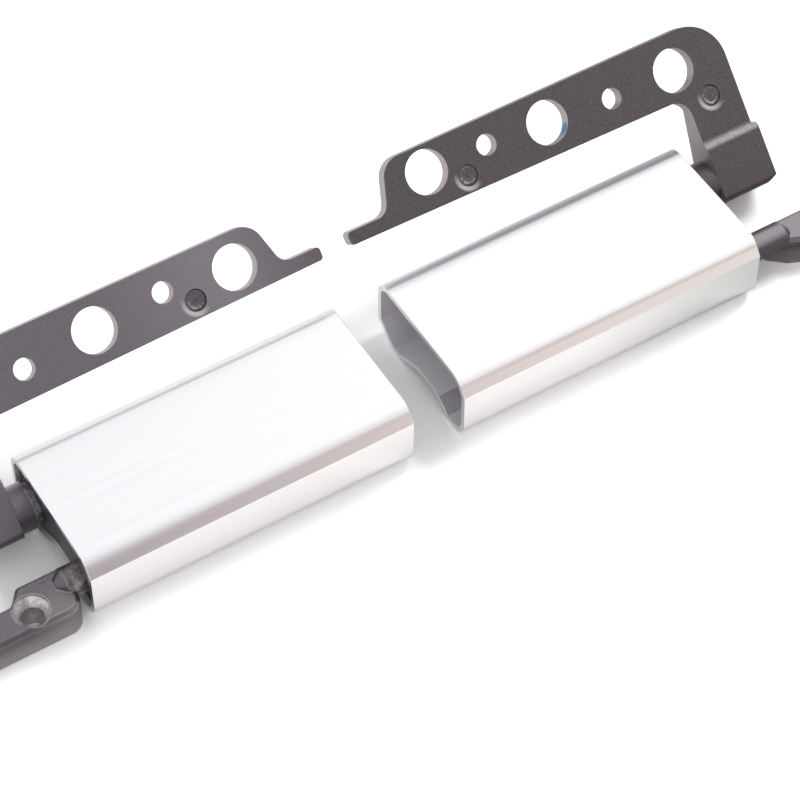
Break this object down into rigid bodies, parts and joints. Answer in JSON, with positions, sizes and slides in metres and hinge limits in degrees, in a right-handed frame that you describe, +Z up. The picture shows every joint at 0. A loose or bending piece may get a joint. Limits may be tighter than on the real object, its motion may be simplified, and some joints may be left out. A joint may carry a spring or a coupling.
{
  "type": "laptop hinge pair",
  "caption": "Left and right two-axis friction hinges for a laptop: hollow sleeves, turning shafts, a perforated display bracket and a screw-down base bar on each.",
  "frame": {"origin": "centre of the pair's footprint on the table: midway between the two hinges along X, mid-depth in Y, Z = 0 at the table", "axes": "+X along the shafts towards the right hinge's base bar, +Y from the base side to the display side, +Z up"},
  "size_m": [0.1264, 0.0248, 0.0168],
  "materials": {
    "sleeve_aluminium": "brushed along the length, anodised silver",
    "bracket_steel": "black plating with a fine satin grain",
    "plate_steel": "dark phosphated steel",
    "shaft_steel": "ground and oiled",
    "washer_steel": "satin",
    "spring_steel": "dark oiled spring steel",
    "nut_steel": "plated"
  },
  "bodies": {
    "sleeves": {"right_cover_sleeve": "sleeve_aluminium", "right_end_plate": "plate_steel", "right_friction_plate_1": "plate_steel", "right_friction_plate_2": "plate_steel", "right_friction_plate_3": "plate_steel", "left_cover_sleeve": "sleeve_aluminium", "left_end_plate": "plate_steel", "left_friction_plate_1": "plate_steel", "left_friction_plate_2": "plate_steel", "left_friction_plate_3": "plate_steel"},
    "right_display": {"right_display_bracket": "bracket_steel", "right_display_shaft": "shaft_steel", "right_display_stop_ring": "washer_steel", "right_display_friction_washer_1": "washer_steel", "right_display_friction_washer_2": "washer_steel", "right_display_friction_washer_3": "washer_steel", "right_display_disc_springs": "spring_steel", "right_display_pressure_washer": "washer_steel", "right_display_lock_nut": "nut_steel"},
    "right_base": {"right_base_bracket": "bracket_steel", "right_base_shaft": "shaft_steel", "right_base_stop_ring": "washer_steel", "right_base_friction_washer_1": "washer_steel", "right_base_friction_washer_2": "washer_steel", "right_base_friction_washer_3": "washer_steel", "right_base_disc_springs": "spring_steel", "right_base_pressure_washer": "washer_steel", "right_base_lock_nut": "nut_steel"},
    "left_display": {"left_display_bracket": "bracket_steel", "left_display_shaft": "shaft_steel", "left_display_stop_ring": "washer_steel", "left_display_friction_washer_1": "washer_steel", "left_display_friction_washer_2": "washer_steel", "left_display_friction_washer_3": "washer_steel", "left_display_disc_springs": "spring_steel", "left_display_pressure_washer": "washer_steel", "left_display_lock_nut": "nut_steel"},
    "left_base": {"left_base_bracket": "bracket_steel", "left_base_shaft": "shaft_steel", "left_base_stop_ring": "washer_steel", "left_base_friction_washer_1": "washer_steel", "left_base_friction_washer_2": "washer_steel", "left_base_friction_washer_3": "washer_steel", "left_base_disc_springs": "spring_steel", "left_base_pressure_washer": "washer_steel", "left_base_lock_nut": "nut_steel"}
  },
  "joints": [
    {"name": "right_display_hinge", "type": "hinge", "parent": "sleeves", "child": "right_display", "pos_m": [0.03895, 0.00109, 0.00355], "axis": [1, 0, 0], "range_deg": [-135, 45]},
    {"name": "right_base_hinge", "type": "hinge", "parent": "sleeves", "child": "right_base", "pos_m": [0.03895, -0.00891, 0.00355], "axis": [1, 0, 0], "range_deg": [-90, 90]},
    {"name": "left_display_hinge", "type": "hinge", "parent": "sleeves", "child": "left_display", "pos_m": [-0.03895, 0.00109, 0.00355], "axis": [1, 0, 0], "range_deg": [-135, 45]},
    {"name": "left_base_hinge", "type": "hinge", "parent": "sleeves", "child": "left_base", "pos_m": [-0.03895, -0.00891, 0.00355], "axis": [1, 0, 0], "range_deg": [-90, 90]}
  ]
}
